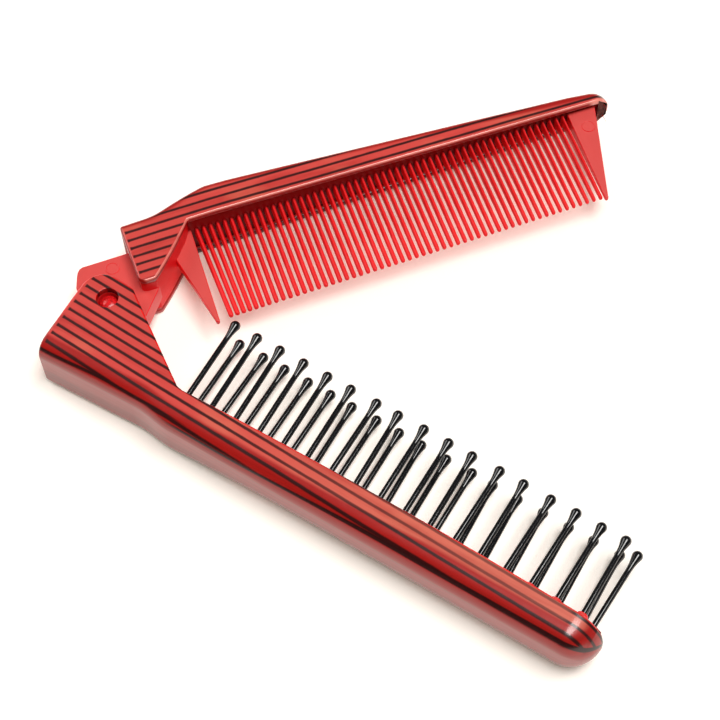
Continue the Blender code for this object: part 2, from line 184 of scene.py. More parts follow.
PLATE_TIP_HALF = 0.55
COMB_FACE = -13.5
GUARD_TIP = 9.6
LEFT_GUARD_TIP_X = 19.85
RIGHT_GUARD_TIP_X = 106.0
GUARD_BASE_X = 113.3
LEFT_GUARD_HEEL = (16.1, -7.9)
GUARD_TIP_RADIUS = 0.42

# Round marks that the mould's ejector pins leave, with the section as (outwards, up) steps
MARK_RADIUS = 1.35
MARK_SECTION = ((-0.2, -0.1), (-0.1, 0.112), (0.0, 0.14), (0.1, 0.112), (0.2, -0.1))
MARK_SIDES = 40
TONGUE_MARK = (3.1, -9.45)
GUARD_MARK = (109.6, -8.8)

# Brush bristles and the bar that holds them
BRUSH_FACE = -10.2
COLLAR_RADIUS = 1.25
COLLAR_FLARE = ((-0.1, 0.35), (0.1225, 0.1575), (0.245, 0.07), (0.49, 0.0))
COLLAR_TOP_RADIUS = 1.08
COLLAR_TOP_FIRST = -8.7
COLLAR_TOP_LAST = -8.25
COLLAR_RISE_X = (20.0, 60.0)
COLLAR_RIM = ((0.25, 0.03), (0.08, -0.04), (0.0, -0.18))
COLLAR_SIDES = 28
SOCKET_RADIUS = 0.66
SOCKET_WALL = ((0.06, 0.05), (0.2, 0.0), (0.55, 0.0))
SHAFT_RADIUS = 0.57
SHAFT_FOOT_RADIUS = 0.513
SHAFT_FOOT_HEIGHT = 0.15
NECK_LENGTH = 3.9
NECK_STEPS = 8
NECK_CURVE = 2.3
NECK_END = (0.34, 0.94)
BALL_RADIUS = 1.08
BALL_ANGLES = (-20, -5, 10, 25, 40, 54, 67, 78, 86)
BALL_END_ANGLE = 78
BRISTLE_END_REACH = 0.15
BRISTLE_SIDES = 20

# The photograph's camera, measured from the hinge axis on the floor
CAMERA_OFFSET = (152.7, -132.8, 316.3)
CAMERA_ELEVATION = 59.45
CAMERA_ROLL = -2.62
CAMERA_TURN = -34.62
CAMERA_LENS = 89.6
CAMERA_SENSOR = 36.0

Arm = namedtuple("Arm", "body side turn taper nose_start inner_corner spine_corner channel_corner "
                        "inner spine fillets")


def smooth(value, start, end):
    """0 before start, 1 after end, and a smooth S between them."""
    t = min(1.0, max(0.0, (value - start) / (end - start)))
    return t * t * (3 - 2 * t)


def ramp(value, start, end):
    """0 before start, 1 after end, and between them a straight rise with rounded ends."""
    t = min(1.0, max(0.0, (value - start) / (end - start)))
    if t < RAMP_EASE:
        return t * t / (2 * RAMP_EASE * (1 - RAMP_EASE))
    if t > 1 - RAMP_EASE:
        return 1 - (1 - t) ** 2 / (2 * RAMP_EASE * (1 - RAMP_EASE))
    return (t - RAMP_EASE / 2) / (1 - RAMP_EASE)


def mix(first, second, t):
    return first + (second - first) * t


def steps(start, end, count):
    """Evenly spaced values from start to end, without the end."""
    return [mix(start, end, i / count) for i in range(count)]


# The arms' outlines

def brush_inner(x):
    """The brush arm's inner outline: ear corner, ear slope, then the slightly bowed edge."""
    edge = BRUSH_INNER - BRUSH_BOW * ((x - BRUSH_BOW_CENTRE) / BRUSH_BOW_HALF) ** 2
    shoulder_x, shoulder_v = BRUSH_SHOULDER
    if x <= BRUSH_EAR_TOP_X:
        radius = BRUSH_EAR_TOP_X - BRUSH_END
        reach = BRUSH_EAR_TOP_X - x
        return BRUSH_EAR_TOP - radius + math.sqrt(max(0.0, radius * radius - reach * reach))
    if x <= shoulder_x:
        t = (x - BRUSH_EAR_TOP_X) / (shoulder_x - BRUSH_EAR_TOP_X)
        return mix(BRUSH_EAR_TOP, shoulder_v, t * t)
    return max(shoulder_v + BRUSH_EAR_SLOPE * (x - shoulder_x), edge)


def brush_spine(x):
    """The brush arm's spine: hollowed towards the hinge, stepping out to the straight run."""
    hinge_run = mix(BRUSH_HEEL_SPINE, BRUSH_WAIST_SPINE, (x - BRUSH_END) / (BRUSH_WAIST_X - BRUSH_END))
    return mix(hinge_run, BRUSH_SPINE, smooth(x, BRUSH_WAIST_X, BRUSH_STEP_END_X))


def comb_inner(x):
    """The comb arm's inner outline: rounded ear tip, ear slope, then the straight edge."""
    corner_x = COMB_END + COMB_EAR_CORNER
    if x <= corner_x:
        reach = (corner_x - x) / COMB_EAR_CORNER
        return COMB_EAR_TIP - COMB_EAR_CORNER * (1 - math.sqrt(max(0.0, 1 - reach * reach)))
    t = (x - COMB_EAR_HEEL_X) / (COMB_FOOT_X - COMB_EAR_HEEL_X)
    slope = mix(COMB_EAR_TIP, COMB_INNER, t) + 4 * COMB_EAR_BULGE * t * (1 - t)
    return max(min(COMB_EAR_TIP, slope), COMB_INNER)


def comb_spine(x):
    """The comb arm's spine: low at the hinge, a slope out, then a long taper to the nose."""
    length = COMB_NOSE_START - COMB_STEP_END_X
    long_run = mix(COMB_STEP_SPINE, COMB_NOSE_SPINE, (x - COMB_STEP_END_X) / length)
    heel_run = COMB_HEEL_SPINE + COMB_HEEL_SLOPE * (x - COMB_END)
    return mix(heel_run, long_run, ramp(x, COMB_STEP_START_X, COMB_STEP_END_X))


def brush_fillets(x):
    """The radii of the spine's upper and lower fillets: the heel stands on a sharper edge."""
    upper = mix(BRUSH_HEEL_FILLET, BRUSH_FILLET, smooth(x, *BRUSH_FILLET_X))
    lower = mix(BRUSH_HEEL_UNDER_FILLET, BRUSH_UNDER_FILLET, smooth(x, *BRUSH_UNDER_FILLET_X))
    return upper, lower


def comb_fillets(x):
    """The comb arm's, which are alike and larger at the nose."""
    nose = smooth(x, COMB_NOSE_START - NOSE_ROUNDING, COMB_NOSE_START + NOSE_ROUNDING)
    radius = mix(COMB_FILLET, COMB_NOSE_FILLET, nose)
    return radius, radius


BRUSH = Arm("brush_arm", 1, 0.0, 0.0, BRUSH_NOSE_START, BRUSH_INNER_CORNER, BRUSH_SPINE_CORNER,
            BRUSH_CHANNEL_CORNER, brush_inner, brush_spine, brush_fillets)
COMB = Arm("comb_arm", -1, math.radians(OPEN_ANGLE), COMB_TAPER, COMB_NOSE_START, COMB_INNER_CORNER,
           COMB_SPINE_CORNER, COMB_CHANNEL_CORNER, comb_inner, comb_spine, comb_fillets)


def flank_half(arm, x):
    """Half the arm's thickness, as if its flat sides ran on past the nose."""
    return MIDDLE - arm.taper * max(0.0, x - COMB_TAPER_START)


def nose_radius(arm):
    return flank_half(arm, arm.nose_start)


def outer_half(arm, x):
    """Half the arm's thickness, with the round nose."""
    past = x - arm.nose_start
    if past <= 0:
        return flank_half(arm, x)
    radius = nose_radius(arm)
    return math.sqrt(max(0.0, radius * radius - past * past))


def cavity_half(arm, x):
    """Half the height of the channel inside the shell."""
    return min(flank_half(arm, x) - WALL, outer_half(arm, x) - NOSE_WALL)


def nose_corner(arm, x, radius):
    """How far a rounded corner of the nose has drawn in at x."""
    past = x - (arm.nose_start + nose_radius(arm) - radius)
    if past <= 0:
        return 0.0
    return radius - math.sqrt(max(0.0, radius * radius - past * past))


def channel_floor(arm, x):
    """Where the channel's floor lies in v: a wall inside the spine and its rounded nose corner."""
    return arm.spine(x) + nose_corner(arm, x, arm.spine_corner) + WALL


def channel_end(arm):
    return arm.nose_start + NOSE_DEPTH * nose_radius(arm)


def arm_stations(arm):
    """Where an arm's cross-sections are drawn, from the hinge end to the nose."""
    quarter = [math.radians(a) for a in steps(0, 90, 9)]
    if arm is BRUSH:
        corner = [mix(BRUSH_EAR_TOP_X, BRUSH_END, math.cos(a)) for a in quarter]
        shoulder_x = BRUSH_SHOULDER[0]
        ear = steps(BRUSH_EAR_TOP_X, shoulder_x, 4) + steps(shoulder_x, BRUSH_WAIST_X, 6)
        foot = steps(BRUSH_WAIST_X, BRUSH_FOOT_X, 6) + steps(BRUSH_FOOT_X, BRUSH_STEP_END_X, 2)
        run_start = BRUSH_STEP_END_X
    else:
        corner = [COMB_END + COMB_EAR_CORNER * (1 - math.cos(a)) for a in quarter]
        ear = [COMB_END + COMB_EAR_CORNER] + steps(COMB_EAR_HEEL_X, COMB_FOOT_X, 8)
        foot = steps(COMB_FOOT_X, COMB_TAPER_START, 5)
        run_start = COMB_TAPER_START
    run = steps(run_start, arm.nose_start, 18)
    radius = nose_radius(arm)
    nose = [arm.nose_start + radius * math.sin(math.radians(a)) for a in (*steps(0, 84, 14), 84, 87)]
    return corner + ear + foot + run + nose


# Building meshes

def place(arm, x, v, z):
    """A point of an arm's frame in the row frame, in metres."""
    across = arm.side * v
    c, s = math.cos(arm.turn), math.sin(arm.turn)
    return Vector((PIVOT.x + x * c - across * s, PIVOT.y + x * s + across * c, z)) * MM


def ring(arm, x, section):
    """A section's (v, z) points at x in the row frame, with the brush arm's slanted hinge end."""
    points = []
    for v, z in section:
        shift = 0.0
        if arm is BRUSH:
            fade = max(0.0, 1 - (x - BRUSH_END) / BRUSH_SLANT_REACH)
            shift = BRUSH_END_SLANT * fade * max(0.0, BRUSH_SLANT_FROM - v)
        points.append(place(arm, x + shift, v, z))
    return points


def open_section(edge, back, half, upper_radius, lower_radius):
    """A U-shaped line from the upper inner edge round the spine to the lower inner edge."""
    sides = []
    for radius in (upper_radius, lower_radius):
        line = [(mix(edge, back + radius, i / FLAT_STEPS), half) for i in range(FLAT_STEPS)]
        for i in range(ROUND_STEPS + 1):
            a = math.radians(90 * i / ROUND_STEPS)
            line.append((back + radius * (1 - math.sin(a)), half - radius * (1 - math.cos(a))))
        sides.append(line)
    upper, lower = sides
    return [(v, MIDDLE + up) for v, up in upper] + [(v, MIDDLE - down) for v, down in reversed(lower)]


def outer_section(arm, x):
    """The shell's outer line, whose fillets leave some of the flat sides and faces."""
    half = outer_half(arm, x)
    inner = arm.inner(x) - nose_corner(arm, x, arm.inner_corner)
    spine = arm.spine(x) + nose_corner(arm, x, arm.spine_corner)
    largest = min(FILLET_OF_HALF * half, FILLET_OF_WIDTH * (inner - spine))
    upper, lower = arm.fillets(x)
    return open_section(inner, spine, half, min(upper, largest), min(lower, largest))


def channel_section(arm, x, inset, edge):
    """The channel's own line, or with an inset that of what fills it."""
    half = cavity_half(arm, x) - inset
    corner = min(arm.channel_corner, 0.5 * half)
    return open_section(edge, channel_floor(arm, x) + inset, half, corner, corner)


def face_outwards(bm):
    bmesh.ops.recalc_face_normals(bm, faces=bm.faces[:])
    if bm.calc_volume(signed=True) < 0:
        bmesh.ops.reverse_faces(bm, faces=bm.faces[:])
    return bm


def bridge(bm, first, second, closed=False):
    """Quads between two rows of vertices."""
    count = len(first)
    for i in range(count if closed else count - 1):
        j = (i + 1) % count
        bm.faces.new((first[i], first[j], second[j], second[i]))


def loft(rings):
    """One closed mesh through closed rings, with a cap at each end."""
    bm = bmesh.new()
    rows = [[bm.verts.new(point) for point in points] for points in rings]
    for first, second in zip(rows, rows[1:]):
        bridge(bm, first, second, closed=True)
    bm.faces.new(list(reversed(rows[0])))
    bm.faces.new(rows[-1])
    return face_outwards(bm)


def shell_mesh(arm):
    """A channel-shaped shell: walls of one thickness, open at the hinge end and solid at the nose."""
    end = channel_end(arm)
    stations = sorted([*arm_stations(arm), end])
    bm = bmesh.new()
    outer = [[bm.verts.new(p) for p in ring(arm, x, outer_section(arm, x))] for x in stations]
    hollow = [x for x in stations if x <= end]
    inner = []
    for x in hollow:
        edge = arm.inner(x) - nose_corner(arm, x, arm.inner_corner)
        inner.append([bm.verts.new(p) for p in ring(arm, x, channel_section(arm, x, 0.0, edge))])
    for first, second in zip(outer, outer[1:]):
        bridge(bm, first, second)
    for first, second in zip(inner, inner[1:]):
        bridge(bm, first, second)
    for i in range(len(hollow) - 1):
        for side in (0, -1):
            bm.faces.new((outer[i][side], inner[i][side], inner[i + 1][side], outer[i + 1][side]))
    bridge(bm, outer[0], inner[0])
    last = len(hollow) - 1
    bm.faces.new(inner[last])
    bm.faces.new((outer[last][0], inner[last][0], inner[last][-1], outer[last][-1],
                  outer[last + 1][-1], outer[last + 1][0]))
    for first, second in zip(outer[last + 1:], outer[last + 2:]):
        bm.faces.new((first[0], first[-1], second[-1], second[0]))
    bm.faces.new(outer[-1])
    return face_outwards(bm)


def bar_face(arm, x):
    """Under its arm's ears a bar follows their outline, and past them it is level."""
    face, foot_x = (BRUSH_FACE, BRUSH_FOOT_X) if arm is BRUSH else (COMB_FACE, COMB_FOOT_X)
    return max(arm.inner(x) - GAP, face) if x < foot_x else face


def bar_mesh(arm, start):
    """What fills a shell's channel."""
    end = channel_end(arm) - GAP
    stations = [start] + [x for x in arm_stations(arm) if start < x < end] + [end]
    return loft([ring(arm, x, channel_section(arm, x, SEAM, bar_face(arm, x))) for x in stations])


def prism(arm, outline, low, high):
    """An outline of (x, v) points, extruded between two heights, which may be functions of v."""
    rings = []
    for level in (low, high):
        height = level if callable(level) else lambda v, level=level: level
        rings.append([place(arm, x, v, height(v)) for x, v in outline])
    return loft(rings)


def turned(profile, sides, seat):
    """A round solid about z through (z, radius) pairs in millimetres, moved by the matrix seat."""
    rings = []
    angles = [2 * math.pi * i / sides for i in range(sides)]
    for z, radius in profile:
        rings.append([Vector((radius * math.cos(a), radius * math.sin(a), z)) * MM for a in angles])
    bm = loft(rings)
    bm.transform(seat)
    return bm


def joined(meshes):
    """Several separate closed meshes as one."""
    total = bmesh.new()
    for bm in meshes:
        part = bpy.data.meshes.new("part")
        bm.to_mesh(part)
        bm.free()
        total.from_mesh(part)
        bpy.data.meshes.remove(part)
    return total


def new_object(name, bm):
    mesh = bpy.data.meshes.new(name)
    bm.to_mesh(mesh)
    bm.free()
    item = bpy.data.objects.new(name, mesh)
    bpy.context.scene.collection.objects.link(item)
    return item


def piece(name, bm, material, arm, nodes, edge=0.0, cutters=()):
    """A finished piece: edges rounded, holes cut, smooth-shaded, riding on its arm."""
    if edge:
        bmesh.ops.dissolve_limit(bm, angle_limit=FLAT_ANGLE, verts=bm.verts, edges=bm.edges)
    item = new_object(name, bm)
    if edge:
        bevel = item.modifiers.new("edges", "BEVEL")
        bevel.width = edge * MM
        bevel.segments = ROUND_SEGMENTS
        bevel.limit_method = "ANGLE"
        bevel.angle_limit = ROUNDED_ANGLE
        bevel.use_clamp_overlap = False
    tools = [new_object(name + "_cutter", cutter) for cutter in cutters]
    for tool in tools:
        cut = item.modifiers.new("hole", "BOOLEAN")
        cut.operation = "DIFFERENCE"
        cut.solver = "EXACT"
        cut.object = tool
    graph = bpy.context.evaluated_depsgraph_get()
    rough = item.data
    item.data = bpy.data.meshes.new_from_object(item.evaluated_get(graph))
    item.modifiers.clear()
    bpy.data.meshes.remove(rough)
    for tool in tools:
        bpy.data.meshes.remove(tool.data)
    item.data.name = name
    item.data.materials.clear()
    item.data.materials.append(material)
    item.data.shade_smooth()
    item.data.set_sharp_from_angle(angle=SHARP_ANGLE)
    item.modifiers.new("flat_faces", "WEIGHTED_NORMAL").keep_sharp = True
    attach(item, arm.body)
    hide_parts(*nodes)


# Materials

# Colours are linear. A pair named for a place is where something sets in: none of it at the first
# number and all of it at the second, which may be the smaller one.

# The face red is a painted sheen on the level faces, lighter than the deep red fillets and sides; the warm
# red is that painted sheen growing warmer towards the brush's nose.
SHELL_FACE_RED = (0.60, 0.056, 0.046, 1.0)
SHELL_SHEEN_WARM_RED = (0.60, 0.125, 0.080, 1.0)
SHELL_DEEP_RED = (0.35, 0.006, 0.004, 1.0)
# A painted highlight: the pink of the comb's lit inner edge and of its nose's inner face
PAINTED_HIGHLIGHT_PINK = (0.90, 0.28, 0.22, 1.0)
# Painted light: the saturated red of the brush's lit inner edge
LIT_EDGE_RED = (0.85, 0.010, 0.008, 1.0)
# Painted shade low on the brush's side, where it reflects the shadowed floor
SIDE_SHADE_BROWN = (0.12, 0.006, 0.003, 1.0)
# Patches of stronger, more orange painted sheen on the broad faces
SHELL_SHEEN_ORANGE = (0.66, 0.17, 0.10, 1.0)
# Black of the printed lines and specks, and also painted shade on the comb's rim below the teeth
STRIPE_AND_SHADE_BLACK = (0.025, 0.001, 0.001, 1.0)
# The insert's lighter face red is a painted sheen on its level faces
INSERT_FACE_RED = (0.64, 0.062, 0.055, 1.0)
INSERT_RED = (0.84, 0.012, 0.016, 1.0)
INSERT_DARK_RED = (0.30, 0.003, 0.004, 1.0)
# Painted shade on the comb's bar among the teeth's roots: dark red above the teeth and nearly black below
# them
INSERT_SHADE_RED = (0.27, 0.001, 0.003, 1.0)
INSERT_ROOT_SHADE_BLACK = (0.04, 0.001, 0.001, 1.0)
NYLON_BLACK = (0.002, 0.002, 0.003, 1.0)
DUST_GREY = (0.05, 0.045, 0.04, 1.0)
FLOOR_WHITE = (0.92, 0.88, 0.83, 1.0)
FLOOR_GLOW = (1.0, 0.90, 0.76, 1.0)
FLOOR_GLOW_STRENGTH = 0.22

# How steeply a surface faces up or down
FLAT_FACES = (0.82, 0.985)
OFF_THE_SIDES = (0.25, 0.5)
OFF_THE_FACES = (0.995, 0.95)

# The dark lines in the shells: across them in v, and from the arm's hinge end in x
STRIPE_PITCH = 2.08
STRIPE_HALF = 0.31
STRIPE_HALF_SPREAD = 0.12
STRIPE_BLUR = 0.14
STRIPE_WOBBLE = 0.35
STRIPE_DARKNESS = 0.98
STRIPE_START = (-0.15, 0.2)
STRIPE_BLOT = 0.07
STRIPE_BLOT_END = (0.7, 0.25)
STRIPE_OFF_SPINE = (0.6, 1.0)
STRIPE_OFF_EAR = (0.3, 0.6)
BRUSH_FIRST_STRIPE = -10.3
BRUSH_STRIPE_INSET = 0.8
BRUSH_STRIPE_SLANT = 0.035
BRUSH_STRIPE_SLANT_X = -4.0
BRUSH_STRIPE_BOW = 0.3
BRUSH_STRIPE_BOW_CENTRE = 56.0
BRUSH_STRIPE_BOW_HALF = 60.0
COMB_FIRST_STRIPE = -13.8
COMB_STRIPE_INSET = 0.55
COMB_STRIPE_CORNER = 6.0

# The brush arm's thick line on the upper fillet, and the thin one that follows the spine to the nose, a
# painted reflection of a dark horizon
THICK_LINE_V = -16.10
THICK_LINE_RISE = 0.85
THICK_LINE_RISE_X = (-5.0, 12.0)
THICK_LINE_FALL = -0.45
THICK_LINE_FALL_X = (18.0, 32.0)
THICK_LINE_HALF = 0.27
THICK_LINE_END = (33.0, 25.0)
THIN_LINE_MARGIN = 0.65
THIN_LINE_RISE = 0.55
THIN_LINE_RISE_X = (35.0, 78.0)
THIN_LINE_HALF = 0.17
THIN_LINE_SWELL = 0.20
THIN_LINE_SWELL_X = (40.0, 90.0)
THIN_LINE_BLUR = 0.09
THIN_LINE_START = (22.0, 30.0)

# Painted sheen, painted highlights and painted shade: in from the spine, along x, across in v, or up in z
UPPER_HALF = (MIDDLE, MIDDLE + 1.0)
LOWER_HALF = (MIDDLE, MIDDLE - 1.0)
BRUSH_SHEEN_MARGIN = (3.3, 4.3)
BRUSH_SHEEN_EXTRA = 0.8
BRUSH_SHEEN_WIDENS_X = (55.0, 90.0)
BRUSH_SHEEN_WARMS_X = (15.0, 95.0)
# How far the brush's lines fade under the painted sheen towards the nose
BRUSH_STRIPES_FADE = 0.30
BRUSH_STRIPES_FADE_X = (25.0, 95.0)
BRUSH_STRIPES_BACK_X = (113.0, 111.0)
BRUSH_LIT_EDGE_V = (-10.4, -9.9)
# Painted shade low on the brush's side, and streaks of darker painted reflection along it
BRUSH_FOOT_SHADE = 0.45
BRUSH_FOOT_Z = (7.5, 3.5)
BRUSH_FOOT_MARGIN = (2.0, 0.8)
BRUSH_STREAK_SHADE = 0.25
COMB_SHEEN_MARGIN = (0.9, 1.8)
COMB_SHEEN_EXTRA = 0.6
COMB_SHEEN_WIDENS_X = (70.0, 100.0)
# Painted highlight along the comb's inner edge, and painted light on its nose's inner face
COMB_EDGE_HIGHLIGHT = 0.6
COMB_HIGHLIGHT_V = (-14.0, -13.3)
COMB_HIGHLIGHT_X = (COMB_END + 0.8, COMB_END + 1.6)
# Painted shade on the comb's lower rim below the teeth
COMB_RIM_SHADE = 0.8
COMB_RIM_V = (-13.3, -13.0)
COMB_RIM_START_X = (COMB_FOOT_X - 1, COMB_FOOT_X)
COMB_RIM_END_X = (108.0, 106.5)
COMB_LIT_NOSE_FACE_V = (-13.3, -12.9)
COMB_LIT_NOSE_FACE_X = (111.0, 112.5)
# Painted shade on the comb's bar among the teeth's roots
ROOT_SHADE = 0.9
ROOT_SHADE_V = (-12.9, -13.5)
ROOT_SHADE_X = (COMB_FOOT_X - 3, COMB_FOOT_X)
ROOT_BLACK_Z = (MIDDLE + 1.5, MIDDLE)


class Graph:
    """A material's node tree, with short calls for the nodes that are used here.

    For an arm it also holds the shaded point in the arm's frame, in millimetres, its x, v and z, and
    level: 1 where the surface faces straight up or down, and 0 where it faces sideways.
    """

    def __init__(self, name, arm=None):
        self.material = bpy.data.materials.new(name)
        self.material.use_nodes = True
        self.tree = self.material.node_tree
        self.shader = self.tree.nodes["Principled BSDF"]
        if arm is not None:
            shaded = self.node("TexCoord", {}).outputs
            self.point = self.place_in(arm, shaded["Object"])
            self.x, self.v, self.z = self.node("SeparateXYZ", {0: self.point}).outputs[:3]
            self.level = self.math("ABSOLUTE", self.node("SeparateXYZ", {0: shaded["Normal"]}).outputs[2])

    def node(self, kind, inputs, **settings):
        made = self.tree.nodes.new("ShaderNode" + kind)
        for key, value in settings.items():
            setattr(made, key, value)
        for key, value in inputs.items():
            self.feed(made.inputs[key], value)
        return made

    def feed(self, socket, value):
        if isinstance(value, bpy.types.NodeSocket):
            self.tree.links.new(value, socket)
        else:
            socket.default_value = value

    def math(self, operation, first, second=0.0):
        return self.node("Math", {0: first, 1: second}, operation=operation).outputs[0]

    def minus(self, first, second):
        return self.math("SUBTRACT", first, second)

    def largest(self, first, second):
        return self.math("MAXIMUM", first, second)

    def add(self, first, *others):
        for other in others:
            first = self.math("ADD", first, other)
        return first

    def times(self, first, *others):
        for other in others:
            first = self.math("MULTIPLY", first, other)
        return first

    def along(self, value, start, end):
        """0 at start and 1 at end, and straight on beyond them."""
        return self.times(self.minus(value, start), 1 / (end - start))

    def mix(self, first, second, share):
        return self.add(first, self.times(self.minus(second, first), share))

    def smooth(self, value, start, end, most=1.0):
        """0 at start, most at end, and a smooth S between them."""
        made = self.node("MapRange", {"Value": value, "From Min": start, "From Max": end, "To Max": most},
                         interpolation_type="SMOOTHSTEP")
        return made.outputs["Result"]

    def stretched(self, vector, factors):
        return self.node("VectorMath", {0: vector, 1: factors}, operation="MULTIPLY").outputs[0]

    def noise(self, scale, detail=3.0, roughness=0.6):
        """Noise from 0 to 1 whose grains are about 1 / scale millimetres, alike or for x, v and z."""
        vector, size = self.point, scale
        if isinstance(scale, tuple):
            vector, size = self.stretched(self.point, scale), 1.0
        made = self.node("TexNoise", {"Vector": vector, "Scale": size, "Detail": detail,
                                      "Roughness": roughness})
        return made.outputs["Fac"]

    def blend(self, factor, first, second):
        made = self.node("Mix", {"Factor": factor, 6: first, 7: second}, data_type="RGBA")
        return made.outputs[2]

    def place_in(self, arm, place_in_row):
        """A place in the arm's own frame, in millimetres."""
        moved = self.node("VectorMath", {0: place_in_row, 1: HINGE}, operation="SUBTRACT").outputs[0]
        back = self.node("VectorRotate", {"Vector": moved, "Angle": -arm.turn}, rotation_type="Z_AXIS")
        return self.stretched(back.outputs[0], (1 / MM, arm.side / MM, 1 / MM))

    def bump(self, height, depth):
        """Relief whose full height is depth millimetres."""
        made = self.node("Bump", {"Strength": 1.0, "Distance": depth * MM, "Height": height})
        self.feed(self.shader.inputs["Normal"], made.outputs[0])

    def finish(self, **values):
        """Sets or links the shader's sockets, whose names are written with _ for a space."""
        for key, value in values.items():
            self.feed(self.shader.inputs[key.replace("_", " ")], value)
        return self.material


def line_mask(graph, distance, half_width, blur):
    """1 within half_width of a line and 0 outside, over a soft edge."""
    return graph.smooth(graph.minus(half_width, distance), -blur, blur)


def flat_faces(graph):
    """1 on the broad upper and lower faces, which are given a painted sheen, and 0 on edges and sides."""
    return graph.smooth(graph.level, *FLAT_FACES)


def edges_only(graph):
    """1 on the rounded edges between the broad faces and the sides, and 0 elsewhere."""
    return graph.times(graph.smooth(graph.level, *OFF_THE_SIDES),
                       graph.smooth(graph.level, *OFF_THE_FACES))


def from_spine(graph, arm):
    """How far a point lies from its arm's spine towards the teeth or bristles, in millimetres."""
    if arm is BRUSH:
        heel = graph.mix(BRUSH_HEEL_SPINE, BRUSH_WAIST_SPINE, graph.along(graph.x, BRUSH_END, BRUSH_WAIST_X))
        step = graph.smooth(graph.x, BRUSH_WAIST_X, BRUSH_STEP_END_X)
        corner_x = BRUSH_NOSE_START + MIDDLE - BRUSH_SPINE_CORNER
        past = graph.largest(graph.minus(graph.x, corner_x), 0.0)
        chord = graph.minus(BRUSH_SPINE_CORNER ** 2, graph.times(past, past))
        drawn_in = graph.minus(BRUSH_SPINE_CORNER, graph.math("SQRT", graph.largest(chord, 0.0)))
        spine = graph.add(graph.mix(heel, BRUSH_SPINE, step), drawn_in)
    else:
        taper = graph.along(graph.x, COMB_STEP_END_X, COMB_NOSE_START)
        run = graph.mix(COMB_STEP_SPINE, COMB_NOSE_SPINE, taper)
        heel = graph.add(graph.times(graph.minus(graph.x, COMB_END), COMB_HEEL_SLOPE), COMB_HEEL_SPINE)
        spine = graph.mix(heel, run, graph.smooth(graph.x, COMB_STEP_START_X, COMB_STEP_END_X))
    return graph.minus(graph.v, spine)


def brush_stripe_place(graph, wobble):
    """For the brush arm's slightly slanted and bowed lines: across them, and from where they start."""
    slant = graph.times(graph.minus(graph.x, BRUSH_STRIPE_SLANT_X), BRUSH_STRIPE_SLANT)
    from_middle = graph.times(graph.minus(graph.x, BRUSH_STRIPE_BOW_CENTRE), 1 / BRUSH_STRIPE_BOW_HALF)
    bow = graph.times(graph.minus(1.0, graph.times(from_middle, from_middle)), BRUSH_STRIPE_BOW)
    across = graph.minus(graph.add(graph.v, slant, bow, wobble), BRUSH_FIRST_STRIPE)
    slanted_end = graph.times(graph.largest(graph.minus(BRUSH_SLANT_FROM, graph.v), 0.0), BRUSH_END_SLANT)
    return across, graph.minus(graph.x, graph.add(BRUSH_END + BRUSH_STRIPE_INSET, slanted_end))


def comb_stripe_place(graph, wobble):
    """For the comb arm's parallel lines: across them, and from where they start at the rounded ear."""
    across = graph.minus(graph.add(graph.v, wobble), COMB_FIRST_STRIPE)
    corner = graph.math("MINIMUM", graph.x, graph.minus(COMB_STRIPE_CORNER, graph.v))
    return across, graph.minus(corner, COMB_END + COMB_STRIPE_INSET)


def stripe_masks(graph, arm, margin):
    """The dark lines in a shell, of slightly uneven width, from near its hinge end to the nose."""
    drift = graph.noise((0.035, 0.25, 0.25), detail=1.0, roughness=0.5)
    wobble = graph.times(graph.minus(drift, 0.5), STRIPE_WOBBLE)
    across, start = (brush_stripe_place if arm is BRUSH else comb_stripe_place)(graph, wobble)
    phase = graph.times(across, 1 / STRIPE_PITCH)
    off = graph.math("ABSOLUTE", graph.minus(phase, graph.math("ROUND", phase)))
    spread = graph.times(graph.noise((0.5, 1.0, 1.0), detail=2.0, roughness=0.5), STRIPE_HALF_SPREAD)
    blot = graph.smooth(start, *STRIPE_BLOT_END, STRIPE_BLOT)
    half = graph.add(STRIPE_HALF - STRIPE_HALF_SPREAD / 2, spread, blot)
    mask = graph.times(line_mask(graph, graph.times(off, STRIPE_PITCH), half, STRIPE_BLUR),
                       graph.smooth(start, *STRIPE_START), graph.smooth(margin, *STRIPE_OFF_SPINE))
    if arm is COMB:
        slope = graph.mix(COMB_EAR_TIP, COMB_INNER, graph.along(graph.x, COMB_EAR_HEEL_X, COMB_FOOT_X))
        to_edge = graph.minus(graph.largest(slope, COMB_INNER), graph.v)
        mask = graph.times(mask, graph.smooth(to_edge, *STRIPE_OFF_EAR))
    return mask


def spine_lines(graph, margin):
    """The thick line along the brush arm's upper fillet, and the thin painted reflection that follows it to
    the nose.
    """
    upper = graph.add(THICK_LINE_V, graph.smooth(graph.x, *THICK_LINE_RISE_X, THICK_LINE_RISE),
                      graph.smooth(graph.x, *THICK_LINE_FALL_X, THICK_LINE_FALL))
    upper_off = graph.math("ABSOLUTE", graph.minus(graph.v, upper))
    thick = graph.times(line_mask(graph, upper_off, THICK_LINE_HALF, STRIPE_BLUR),
                        graph.smooth(graph.x, *THICK_LINE_END))
    lower = graph.add(THIN_LINE_MARGIN, graph.smooth(graph.x, *THIN_LINE_RISE_X, THIN_LINE_RISE))
    lower_off = graph.math("ABSOLUTE", graph.minus(margin, lower))
    half = graph.add(THIN_LINE_HALF, graph.smooth(graph.x, *THIN_LINE_SWELL_X, THIN_LINE_SWELL))
    horizon_reflection = graph.times(line_mask(graph, lower_off, half, THIN_LINE_BLUR),
                       graph.smooth(graph.x, *THIN_LINE_START))
    return graph.largest(thick, horizon_reflection)


